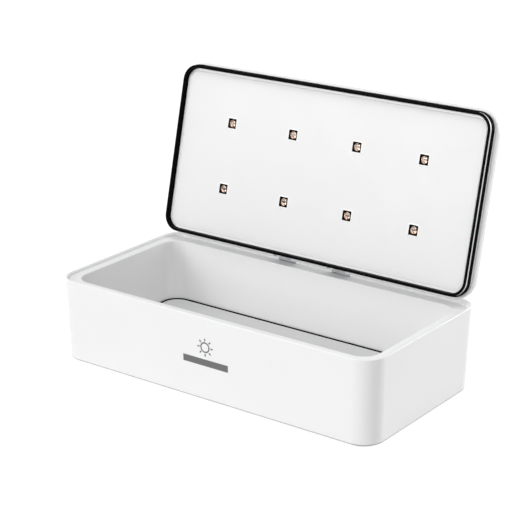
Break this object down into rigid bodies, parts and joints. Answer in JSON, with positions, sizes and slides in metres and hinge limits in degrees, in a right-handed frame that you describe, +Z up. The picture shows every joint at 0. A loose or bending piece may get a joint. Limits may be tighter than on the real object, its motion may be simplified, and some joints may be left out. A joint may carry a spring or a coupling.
{
  "type": "uv sanitizer box",
  "caption": "Long white box that sterilises a phone: hinged lid with a rubber seal, ultraviolet lamps behind its inner panel and a push button on top.",
  "frame": {"origin": "middle of the flat underside of the bottom cover, which the box stands on", "axes": "+X along the length, +Y to the back where the hinges are, +Z up"},
  "size_m": [0.25, 0.1499, 0.1789],
  "materials": {
    "outer_white": "satin white",
    "liner_white": "fine matt",
    "panel_white": "satin white",
    "floor_grey": "fine matt",
    "black_rubber": "smooth",
    "black_plastic": "fine matt",
    "steel": "brushed",
    "bright_metal": "polished",
    "board_green": "lacquered",
    "board_metal": "white lacquer on metal",
    "lamp_copper": "gilded",
    "window_glass": "clear, warm tint",
    "indicator_clear": "frosted"
  },
  "bodies": {
    "base": {"base_shell": "outer_white", "chamber_liner": "liner_white", "floor_panel": "floor_grey", "floor_edging": "black_rubber", "bottom_cover": "outer_white", "cover_screws": "steel", "feet": "black_rubber", "power_board": "board_green", "power_board_screws": "steel", "power_socket": "bright_metal", "base_magnets": "bright_metal", "lid_sensor": "black_plastic", "hinge_brackets": "steel", "bracket_screws": "steel", "hinge_pins": "steel"},
    "lid": {"lid_shell": "outer_white", "lid_frame": "liner_white", "lid_frame_screws": "steel", "lid_seal": "black_rubber", "lid_panel": "panel_white", "lid_magnets": "bright_metal", "lamp_boards": "board_metal", "lamp_board_screws": "steel", "lamps": "lamp_copper", "lamp_frames": "black_plastic", "lamp_windows": "window_glass", "button_ring": "bright_metal", "switch_body": "black_plastic", "button_board": "board_green", "button_board_screws": "steel", "indicator_pipe": "indicator_clear"},
    "button": {"power_button": "outer_white", "switch_plunger": "black_plastic"}
  },
  "joints": [
    {"name": "lid_hinge", "type": "hinge", "parent": "base", "child": "lid", "pos_m": [0, 0.0543, 0.0647], "axis": [1, 0, 0], "range_deg": [0, 103.6]},
    {"name": "button_press", "type": "slide", "parent": "lid", "child": "button", "axis": [0, -0.972, 0.2351], "range_m": [0, 0.0007], "stiffness_N_per_m": 1500, "springref_m": -0.0004}
  ]
}
